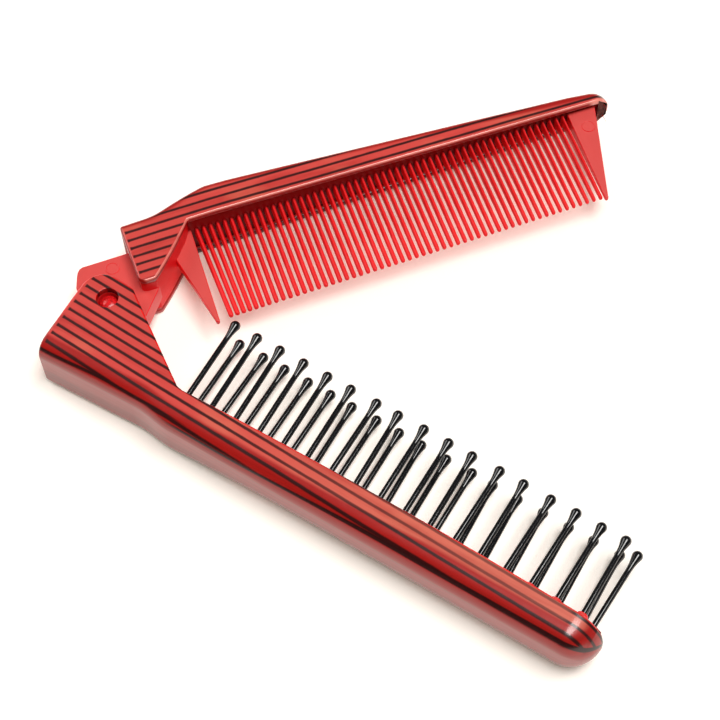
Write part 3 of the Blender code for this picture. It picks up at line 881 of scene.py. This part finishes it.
def brush_shell_red(graph, margin):
    """The brush shell's colour and painted sheen, a painted highlight on its inner edge and painted shade
    low on its side.
    """
    inwards = graph.smooth(graph.x, *BRUSH_SHEEN_WIDENS_X, BRUSH_SHEEN_EXTRA)
    # Painted sheen on the level faces, starting a few millimetres in from the spine and nearer to it towards
    # the nose
    painted_sheen = graph.times(flat_faces(graph), graph.smooth(graph.minus(margin, inwards), *BRUSH_SHEEN_MARGIN))
    face = graph.blend(graph.smooth(graph.x, *BRUSH_SHEEN_WARMS_X), SHELL_FACE_RED, SHELL_SHEEN_WARM_RED)
    red = graph.blend(painted_sheen, SHELL_DEEP_RED, face)
    # Painted light on the upper inner edge
    inner = graph.times(graph.smooth(graph.v, *BRUSH_LIT_EDGE_V),
                        graph.smooth(graph.z, *UPPER_HALF), edges_only(graph))
    red = graph.blend(inner, red, LIT_EDGE_RED)
    # Painted shade low on the side, and streaks of darker painted reflection along it
    foot = graph.times(graph.smooth(graph.z, *BRUSH_FOOT_Z), graph.smooth(margin, *BRUSH_FOOT_MARGIN))
    reflection_streaks = graph.noise((0.015, 0.1, 1.3))
    shade = graph.add(graph.times(foot, BRUSH_FOOT_SHADE),
                      graph.smooth(reflection_streaks, 0.45, 0.6, BRUSH_STREAK_SHADE))
    on_side = graph.minus(1.0, flat_faces(graph))
    return graph.blend(graph.times(shade, on_side), red, SIDE_SHADE_BROWN), painted_sheen


def comb_shell_red(graph, margin):
    """The comb shell's colour and painted sheen, painted highlights on its inner edge and nose, and painted
    shade below the teeth.
    """
    inwards = graph.smooth(graph.x, *COMB_SHEEN_WIDENS_X, COMB_SHEEN_EXTRA)
    # Painted sheen on the level faces, starting a little in from the spine and nearer to it towards the nose
    painted_sheen = graph.times(flat_faces(graph), graph.smooth(graph.minus(margin, inwards), *COMB_SHEEN_MARGIN))
    red = graph.blend(painted_sheen, SHELL_DEEP_RED, SHELL_FACE_RED)
    # Painted highlight along the upper inner edge
    inner = graph.times(graph.smooth(graph.v, *COMB_HIGHLIGHT_V), graph.smooth(graph.x, *COMB_HIGHLIGHT_X))
    edge_highlight = graph.times(inner, edges_only(graph), graph.smooth(graph.z, *UPPER_HALF, COMB_EDGE_HIGHLIGHT))
    red = graph.blend(edge_highlight, red, PAINTED_HIGHLIGHT_PINK)
    # Painted shade: the lower rim below the teeth's roots turns nearly black
    among_teeth = graph.times(graph.smooth(graph.x, *COMB_RIM_START_X),
                              graph.smooth(graph.x, *COMB_RIM_END_X))
    rim = graph.times(graph.smooth(graph.v, *COMB_RIM_V), among_teeth)
    under_teeth = graph.times(rim, graph.smooth(graph.z, *LOWER_HALF, COMB_RIM_SHADE))
    red = graph.blend(under_teeth, red, STRIPE_AND_SHADE_BLACK)
    # Painted light on the nose's inner face
    lit_nose_face = graph.times(graph.smooth(graph.v, *COMB_LIT_NOSE_FACE_V),
                            graph.smooth(graph.x, *COMB_LIT_NOSE_FACE_X))
    return graph.blend(lit_nose_face, red, PAINTED_HIGHLIGHT_PINK), painted_sheen


def shell_plastic(arm):
    """Glossy red plastic with fine dark lines, faint clouds of colour, light handling marks, and painted
    sheen, highlights and shade.
    """
    graph = Graph(arm.body + "_striped_plastic", arm)
    margin = from_spine(graph, arm)
    stripes = graph.times(stripe_masks(graph, arm, margin), STRIPE_DARKNESS)
    if arm is BRUSH:
        red, painted_sheen = brush_shell_red(graph, margin)
        # Towards the nose the lines fade under the painted sheen, a painted reflection lying over them.
        stripes_under_sheen = graph.times(graph.smooth(graph.x, *BRUSH_STRIPES_FADE_X, BRUSH_STRIPES_FADE),
                             graph.smooth(graph.x, *BRUSH_STRIPES_BACK_X), painted_sheen)
        stripes = graph.largest(graph.times(stripes, graph.minus(1.0, stripes_under_sheen)), spine_lines(graph, margin))
    else:
        red, painted_sheen = comb_shell_red(graph, margin)
    clouds = graph.smooth(graph.noise((0.04, 0.3, 0.3)), 0.45, 0.70, most=0.45)
    red = graph.blend(clouds, red, SHELL_DEEP_RED)
    # Patches where the painted sheen is stronger and more orange
    patches = graph.smooth(graph.noise((0.05, 0.11, 0.11)), 0.50, 0.68, most=0.35)
    red = graph.blend(graph.times(patches, painted_sheen), red, SHELL_SHEEN_ORANGE)
    specks = graph.smooth(graph.noise(2.6, detail=2.0, roughness=0.5), 0.30, 0.20, most=0.35)
    red = graph.blend(specks, red, STRIPE_AND_SHADE_BLACK)
    rub = graph.noise((0.25, 1.6, 1.6), detail=4.0, roughness=0.65)
    ripple = graph.noise((0.12, 0.4, 0.4), detail=2.0, roughness=0.5)
    fine = graph.noise(5.0)
    graph.bump(graph.add(graph.times(ripple, 0.7), graph.times(fine, 0.05)), depth=0.03)
    return graph.finish(Base_Color=graph.blend(stripes, red, STRIPE_AND_SHADE_BLACK),
                        Roughness=graph.add(0.24, graph.times(rub, 0.14)),
                        IOR=1.5, Coat_Weight=0.4, Coat_Roughness=0.08)


def insert_plastic(arm, name, painted_sheen=1.0, shine=0.5):
    """Plain moulded red plastic: satin, with the faint grain and flow marks of the mould, a painted sheen on
    level faces and painted shade among the comb's teeth roots.
    """
    graph = Graph(name, arm)
    # Level faces take the lighter red, a painted sheen, by the given share
    red = graph.blend(graph.times(flat_faces(graph), painted_sheen), INSERT_RED, INSERT_FACE_RED)
    clouds = graph.smooth(graph.noise((0.10, 0.05, 0.2)), 0.35, 0.8, most=0.18)
    red = graph.blend(clouds, red, INSERT_DARK_RED)
    if arm is COMB:
        # Painted shade among the teeth's roots, darkest below the teeth
        among_roots = graph.times(graph.smooth(graph.v, *ROOT_SHADE_V, ROOT_SHADE),
                                  graph.smooth(graph.x, *ROOT_SHADE_X))
        below = graph.smooth(graph.z, *ROOT_BLACK_Z)
        red = graph.blend(among_roots, red, graph.blend(below, INSERT_SHADE_RED, INSERT_ROOT_SHADE_BLACK))
    grain = graph.noise(7.0, roughness=0.7)
    rub = graph.noise((1.4, 0.3, 1.4), detail=4.0)
    graph.bump(graph.add(graph.times(grain, 0.35), graph.times(rub, 0.4)), depth=0.02)
    return graph.finish(Base_Color=red, Roughness=graph.add(0.30, graph.times(rub, 0.18)), IOR=1.5,
                        Specular_IOR_Level=shine)


def pin_plastic():
    """The pin's head: brighter red, polished by wear."""
    graph = Graph("hinge_pin_plastic", BRUSH)
    rub = graph.noise(1.8, detail=4.0)
    red = graph.blend(graph.smooth(rub, 0.3, 0.8), INSERT_RED, INSERT_DARK_RED)
    graph.bump(rub, depth=0.03)
    return graph.finish(Base_Color=red, Roughness=graph.add(0.16, graph.times(rub, 0.14)), IOR=1.5)


def bristle_nylon():
    """Glossy black nylon with faint drawing lines along the shaft and a little dust."""
    graph = Graph("bristle_nylon", BRUSH)
    drawn = graph.noise((6.0, 0.25, 6.0))
    dust = graph.smooth(graph.noise(3.0, roughness=0.7), 0.66, 0.76, most=0.2)
    graph.bump(drawn, depth=0.006)
    return graph.finish(Base_Color=graph.blend(dust, NYLON_BLACK, DUST_GREY),
                        Roughness=graph.add(0.05, graph.times(drawn, 0.06)), IOR=1.4, Specular_IOR_Level=1.0)


# The pieces

def hole_cutter():
    """The hinge hole, with a slightly rounded lip at each face."""
    profile = [(-1.0, HOLE_RADIUS + 2 * HOLE_LIP)]
    profile += [(depth, HOLE_RADIUS + share * HOLE_LIP) for depth, share in HOLE_LIP_PROFILE]
    profile += [(THICKNESS - z, radius) for z, radius in reversed(profile)]
    return turned(profile, HOLE_SIDES, Matrix.Translation(HINGE))


def arc(radius, start, end, count):
    angles = [math.radians(mix(start, end, i / count)) for i in range(count + 1)]
    return [(radius * math.cos(a), radius * math.sin(a)) for a in angles]


def build_brush_arm():
    piece("brush_shell_skin", shell_mesh(BRUSH), shell_plastic(BRUSH), BRUSH,
          ["brush_shell"], edge=EDGE_ROUND, cutters=[hole_cutter()])
    finish = insert_plastic(BRUSH, "bristle_base_plastic")
    slot_half = TONGUE_HALF + GAP
    outline = arc(POCKET_RADIUS, POCKET_FROM, POCKET_TO, 10)
    outline += arc(SLOT_RADIUS, POCKET_TO, 360 + POCKET_FROM, 48)
    slot = prism(BRUSH, outline, MIDDLE - slot_half, MIDDLE + slot_half)
    piece("bristle_bar", bar_mesh(BRUSH, BRUSH_END + GAP), finish, BRUSH,
          ["bristle_base"], edge=BAR_ROUND, cutters=[slot, hole_cutter()])
    nylon = bristle_nylon()
    collars = []
    for node in sorted(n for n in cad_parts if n.startswith("bristle_") and n != "bristle_base"):
        foot, end = bristle_axis(node)
        build_bristle(node, foot, end, nylon)
        collars.append(collar_mesh(foot))
    piece("bristle_collars", joined(collars), finish, BRUSH, ["bristle_base"])
    build_pin()


def bristle_axis(node):
    """The foot and the ball's far end of a packed bristle, in the row frame."""
    points = [vertex.co.copy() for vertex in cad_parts[node].data.vertices]
    low = min(p.y for p in points)
    high = max(p.y for p in points)
    ends = []
    for level in (low, high):
        near = [p for p in points if abs(p.y - level) < BRISTLE_END_REACH * MM]
        ends.append(sum(near, Vector()) / len(near))
    return ends


def build_bristle(node, foot, end, nylon):
    """A straight shaft that swells into a drop-shaped ball."""
    length = (end - foot).length / MM
    centre = length - BALL_RADIUS * math.sin(math.radians(BALL_END_ANGLE))
    neck_start = centre - NECK_LENGTH
    neck_end_depth, neck_end_radius = (share * BALL_RADIUS for share in NECK_END)
    profile = [(0.0, SHAFT_FOOT_RADIUS), (SHAFT_FOOT_HEIGHT, SHAFT_RADIUS), (neck_start, SHAFT_RADIUS)]
    for i in range(1, NECK_STEPS):
        t = i / NECK_STEPS
        profile.append((neck_start + t * (NECK_LENGTH - neck_end_depth),
                        mix(SHAFT_RADIUS, neck_end_radius, t ** NECK_CURVE)))
    for angle in BALL_ANGLES:
        a = math.radians(angle)
        profile.append((centre + BALL_RADIUS * math.sin(a), BALL_RADIUS * math.cos(a)))
    upright = (end - foot).to_track_quat("Z", "Y").to_matrix().to_4x4()
    mesh = turned(profile, BRISTLE_SIDES, Matrix.Translation(foot) @ upright)
    piece(node + "_drop", mesh, nylon, BRUSH, [node])


def collar_mesh(foot):
    """A collar round a bristle's foot, with a small flare where it meets the bar and an open socket."""
    top = mix(COLLAR_TOP_FIRST, COLLAR_TOP_LAST, smooth(foot.x / MM - PIVOT.x, *COLLAR_RISE_X))
    profile = [(BRUSH_FACE + up, COLLAR_RADIUS + out) for up, out in COLLAR_FLARE]
    profile += [(top - down, COLLAR_TOP_RADIUS + out) for down, out in COLLAR_RIM]
    profile += [(top - down, SOCKET_RADIUS + out) for down, out in SOCKET_WALL]
    seat = Matrix.Translation(Vector((foot.x, PIVOT.y * MM, foot.z)))
    return turned(profile, COLLAR_SIDES, seat @ Matrix.Rotation(-math.pi / 2, 4, "X"))


def build_pin():
    """The hinge pin, with a low dome at each end."""
    bottom, top = (corner.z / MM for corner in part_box("hinge_pin"))
    angles = [math.radians(a) for a in PIN_DOME_ANGLES]
    dome = [(PIN_DOME * (1 - math.sin(a)), PIN_RADIUS * math.cos(a)) for a in angles]
    profile = [(bottom + rise, radius) for rise, radius in dome]
    profile += [(top - rise, radius) for rise, radius in reversed(dome)]
    mesh = turned(profile, PIN_SIDES, Matrix.Translation(HINGE))
    piece("hinge_pin_polished", mesh, pin_plastic(), BRUSH, ["hinge_pin"])


def build_comb_arm():
    piece("comb_shell_skin", shell_mesh(COMB), shell_plastic(COMB), COMB,
          ["comb_shell"], edge=EDGE_ROUND)
    finish = insert_plastic(COMB, "comb_insert_plastic")
    bar_finish = insert_plastic(COMB, "comb_bar_plastic", shine=0.15)
    piece("comb_bar", bar_mesh(COMB, COMB_END + GAP), bar_finish, COMB,
          ["comb_core"], edge=BAR_ROUND, cutters=[hole_cutter()])
    tongue = prism(COMB, tongue_outline(), MIDDLE - TONGUE_HALF, MIDDLE + TONGUE_HALF)
    piece("hinge_tongue", tongue, finish, COMB, ["comb_core"], edge=TONGUE_ROUND,
          cutters=[hole_cutter()])
    space = TOOTH_PITCH - TOOTH_ROOT_HALF_WIDTH
    left_root = TOOTH_FIRST - space
    right_root = TOOTH_FIRST + TOOTH_PITCH * (TOOTH_COUNT - 1) + space
    left_heel = [(LEFT_GUARD_HEEL[0], PLATE_BACK), LEFT_GUARD_HEEL]
    left = guard_outline(left_heel, LEFT_GUARD_TIP_X, [(left_root, TOOTH_ROOT), (left_root, PLATE_BACK)])
    right_heel = [(right_root, PLATE_BACK), (right_root, TOOTH_ROOT)]
    right = guard_outline(right_heel, RIGHT_GUARD_TIP_X, [(GUARD_BASE_X, PLATE_BACK)])
    for name, outline in (("guard_tooth_left", left), ("guard_tooth_right", right)):
        guard = prism(COMB, outline, lambda v: MIDDLE - plate_half(v), lambda v: MIDDLE + plate_half(v))
        piece(name, guard, finish, COMB, ["comb_core"], edge=GUARD_ROUND)
    teeth = joined([tooth_mesh(index) for index in range(TOOTH_COUNT)])
    teeth_finish = insert_plastic(COMB, "comb_teeth_plastic", painted_sheen=0.1, shine=0.3)
    piece("comb_teeth", teeth, teeth_finish, COMB, ["comb_core"])
    marks = [mark_mesh(TONGUE_MARK, MIDDLE + TONGUE_HALF),
             mark_mesh(GUARD_MARK, MIDDLE + plate_half(GUARD_MARK[1]))]
    piece("ejector_marks", joined(marks), finish, COMB, ["comb_core"])


def tongue_outline():
    """The hinge tongue in plan: straight upper edge, rounded end, and a slanted edge to the ear."""
    rounded_end = [(x, v + TONGUE_END_V) for x, v in arc(TONGUE_END_RADIUS, 180, 45, 14)]
    return [(TONGUE_ROOT_X, TONGUE_UPPER), *TONGUE_CORNER, *rounded_end, *TONGUE_EAR_EDGE]


def plate_half(v):
    """Half the thickness of the teeth, from root to tip."""
    return mix(PLATE_ROOT_HALF, PLATE_TIP_HALF, (v - TOOTH_ROOT) / (TOOTH_TIP - TOOTH_ROOT))


def guard_outline(heel, tip_x, root):
    """A guard tooth in plan: from its heel round the blunt tip to its root."""
    tip = []
    for angle in range(200, -11, -30):
        a = math.radians(angle)
        tip.append((tip_x + GUARD_TIP_RADIUS * math.cos(a),
                    GUARD_TIP - GUARD_TIP_RADIUS * (1 - math.sin(a))))
    return heel + tip + root


def tooth_lean(index):
    """How far a tooth's tip lies from its root along x: the first few bunch together."""
    return TOOTH_LEAN + BUNCHED_LEAN * max(0.0, 1 - index / BUNCHED_TEETH)


def squared(value):
    """A sine or cosine, drawn out so that a round section becomes a slightly square one."""
    return math.copysign(abs(value) ** TOOTH_SQUARENESS, value)


def tooth_mesh(index):
    """One fine tooth: an oval section that flares at the root and thins towards a rounded tip."""
    length = TOOTH_TIP - TOOTH_ROOT
    root_x = TOOTH_FIRST + TOOTH_PITCH * index
    swell = mix(TOOTH_SWELL, TOOTH_SWELL_LAST, index / (TOOTH_COUNT - 1))
    levels = [(depth, 1.0) for depth in TOOTH_ROOT_DEPTHS]
    levels += [(depth, 1.0) for depth in steps(TOOTH_SHAFT_START, length - TOOTH_POINT, 6)]
    for angle in TOOTH_POINT_ANGLES:
        a = math.radians(angle)
        levels.append((length - TOOTH_POINT * (1 - math.sin(a)), math.cos(a)))
    rings = []
    for depth, share in levels:
        v = TOOTH_ROOT + depth
        t = depth / length
        flare = TOOTH_FLARE * math.exp(-max(0, depth - TOOTH_FLARE_START) / TOOTH_FLARE_LENGTH)
        half_width = share * (swell * mix(TOOTH_ROOT_HALF_WIDTH, TOOTH_TIP_HALF_WIDTH, t) + flare)
        half_height = share * plate_half(v)
        centre = root_x + tooth_lean(index) * t
        points = []
        for i in range(TOOTH_SIDES):
            a = 2 * math.pi * (i + 0.5) / TOOTH_SIDES
            points.append(place(COMB, centre + half_width * squared(math.cos(a)), v,
                                MIDDLE + half_height * squared(math.sin(a))))
        rings.append(points)
    return loft(rings)


def mark_mesh(spot, z):
    """A low ring left by an ejector pin, partly sunk in the face at height z."""
    centre_x, centre_v = spot
    angles = [2 * math.pi * i / MARK_SIDES for i in range(MARK_SIDES)]
    bm = bmesh.new()
    rings = []
    for out, up in MARK_SECTION:
        radius = MARK_RADIUS + out
        rings.append([bm.verts.new(place(COMB, centre_x + radius * math.cos(a),
                                         centre_v + radius * math.sin(a), z + up)) for a in angles])
    for first, second in zip(rings, rings[1:] + rings[:1]):
        bridge(bm, first, second, closed=True)
    return face_outwards(bm)


# Floor, light and camera

FLOOR_HALF = 4.0
SOFTBOX_DISTANCE = 2.0
SOFTBOX_ACROSS = Vector((1.0, 0.0, 0.0))
WALL_WHITE = (1.0, 0.985, 0.96, 1.0)
WALLS = 0.12
DARK_WALL = 0.03
DARK_FRONT = (0.35, -0.85, 0.35)
DARK_SPREAD = (0.35, 0.80)


def build_floor():
    """White acrylic, lit a little from below as on a product photographer's light table."""
    bm = bmesh.new()
    bmesh.ops.create_grid(bm, x_segments=2, y_segments=2, size=FLOOR_HALF)
    floor = new_object("floor", bm)
    floor.data.materials.append(Graph("floor_acrylic").finish(
        Base_Color=FLOOR_WHITE, Roughness=0.75, Emission_Color=FLOOR_GLOW,
        Emission_Strength=FLOOR_GLOW_STRENGTH))


def softbox(name, direction, width, height, radiance, colour):
    """A softbox that looks at the middle of the comb from a direction, its width as near x as it can be."""
    data = bpy.data.lights.new(name, "AREA")
    data.shape = "RECTANGLE"
    data.size, data.size_y = width, height
    data.energy = radiance * math.pi * width * height
    data.color = colour
    lamp = bpy.data.objects.new(name, data)
    bpy.context.scene.collection.objects.link(lamp)
    back = Vector(direction).normalized()
    right = (SOFTBOX_ACROSS - back * back.dot(SOFTBOX_ACROSS)).normalized()
    turn = Matrix((right, back.cross(right), back)).transposed().to_4x4()
    lamp.matrix_world = Matrix.Translation(back * SOFTBOX_DISTANCE) @ turn
    lamp.visible_camera = False


def build_light():
    """Two softboxes in a dim white room, which is darker towards the front."""
    softbox("key", direction=(0.255, 0.03, 0.965), width=0.76, height=1.42, radiance=12.8,
            colour=(1.0, 0.985, 0.96))
    softbox("left_box", direction=(-0.74, -0.02, 0.62), width=0.9, height=1.3, radiance=3.4,
            colour=(1.0, 0.99, 0.97))
    world = bpy.data.worlds.new("studio")
    world.use_nodes = True
    tree = world.node_tree
    background = tree.nodes["Background"]
    direction = tree.nodes.new("ShaderNodeTexCoord").outputs["Generated"]
    towards = tree.nodes.new("ShaderNodeVectorMath")
    towards.operation = "DOT_PRODUCT"
    towards.inputs[1].default_value = Vector(DARK_FRONT).normalized()
    tree.links.new(direction, towards.inputs[0])
    shade = tree.nodes.new("ShaderNodeMapRange")
    shade.interpolation_type = "SMOOTHSTEP"
    shade.inputs["From Min"].default_value, shade.inputs["From Max"].default_value = DARK_SPREAD
    shade.inputs["To Min"].default_value = WALLS
    shade.inputs["To Max"].default_value = DARK_WALL
    tree.links.new(towards.outputs["Value"], shade.inputs["Value"])
    background.inputs["Color"].default_value = WALL_WHITE
    tree.links.new(shade.outputs["Result"], background.inputs["Strength"])
    bpy.context.scene.world = world
    bpy.context.scene.view_settings.view_transform = "Standard"


def build_camera():
    """The camera of the photograph, turned with its slight roll."""
    elevation = math.radians(CAMERA_ELEVATION)
    turn = math.radians(CAMERA_TURN)
    roll = math.radians(CAMERA_ROLL)
    level = Vector((math.cos(turn), -math.sin(turn), 0.0))
    ahead = Vector((math.sin(turn), math.cos(turn), 0.0))
    forward = ahead * math.cos(elevation) - Vector((0.0, 0.0, math.sin(elevation)))
    upright = level.cross(forward)
    right = level * math.cos(roll) + upright * math.sin(roll)
    up = upright * math.cos(roll) - level * math.sin(roll)
    data = bpy.data.cameras.new("camera")
    data.sensor_width = CAMERA_SENSOR
    data.lens = CAMERA_LENS
    data.clip_start = 0.01
    camera = bpy.data.objects.new("camera", data)
    bpy.context.scene.collection.objects.link(camera)
    seat = Matrix.Translation(HINGE + Vector(CAMERA_OFFSET) * MM)
    camera.matrix_world = seat @ Matrix((right, up, -forward)).transposed().to_4x4()
    bpy.context.scene.camera = camera


build_brush_arm()
build_comb_arm()
build_floor()
build_light()
build_camera()
